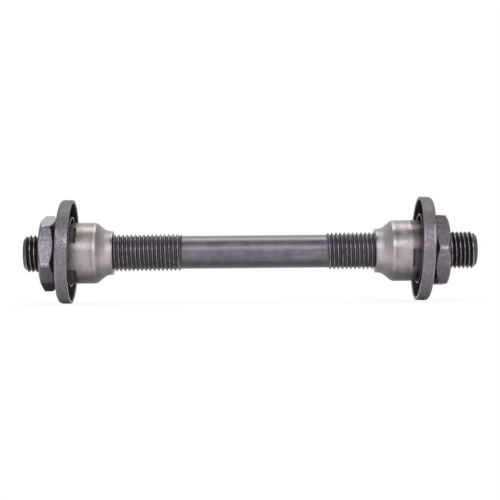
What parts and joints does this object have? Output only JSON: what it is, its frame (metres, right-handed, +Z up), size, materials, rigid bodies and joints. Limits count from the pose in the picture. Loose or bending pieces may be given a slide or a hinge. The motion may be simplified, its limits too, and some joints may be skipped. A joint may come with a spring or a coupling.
{
  "type": "bicycle hub axle",
  "caption": "Hollow threaded front hub axle for a quick-release skewer, with bearing cones, dust caps and lock nuts screwed on at both ends.",
  "frame": {"origin": "on the axle's axis, halfway between its two ends", "axes": "+X along the axle to the end with the longer stub, +Z up, the pictured front faces -Y"},
  "size_m": [0.108, 0.0248, 0.025],
  "materials": {
    "black_steel": "black oxide, lightly oiled",
    "ground_steel": "turned and ground, bare",
    "cap_steel": "grey phosphate, worn at the edges",
    "nut_steel": "grey phosphate, satin"
  },
  "bodies": {
    "axle": {"axle": "black_steel"},
    "left_cone": {"left_cone": "ground_steel"},
    "right_cone": {"right_cone": "ground_steel"},
    "left_cap": {"left_dust_cap": "cap_steel"},
    "right_cap": {"right_dust_cap": "cap_steel"},
    "left_nut": {"left_lock_nut": "nut_steel"},
    "right_nut": {"right_lock_nut": "nut_steel"}
  },
  "joints": [
    {"name": "left_cone_travel", "type": "slide", "parent": "axle", "child": "left_cone", "axis": [1, 0, 0], "range_m": [0, 0.015]},
    {"name": "right_cone_travel", "type": "slide", "parent": "axle", "child": "right_cone", "axis": [-1, 0, 0], "range_m": [0, 0.0105]},
    {"name": "left_cap_travel", "type": "slide", "parent": "axle", "child": "left_cap", "axis": [-1, 0, 0], "range_m": [0, 0.007]},
    {"name": "right_cap_travel", "type": "slide", "parent": "axle", "child": "right_cap", "axis": [1, 0, 0], "range_m": [0, 0.0095]},
    {"name": "left_nut_screw", "type": "hinge", "parent": "left_cap", "child": "left_nut", "pos_m": [-0.0479, 0, 0], "axis": [-1, 0, 0], "range_deg": [0, 2520]},
    {"name": "right_nut_screw", "type": "hinge", "parent": "right_cap", "child": "right_nut", "pos_m": [0.045, 0, 0], "axis": [1, 0, 0], "range_deg": [0, 3420]}
  ],
  "couplings": [
    {"joint": "left_nut_screw", "follows": "left_cap_travel", "rad_per_m": 6283.2},
    {"joint": "right_nut_screw", "follows": "right_cap_travel", "rad_per_m": 6283.2}
  ]
}
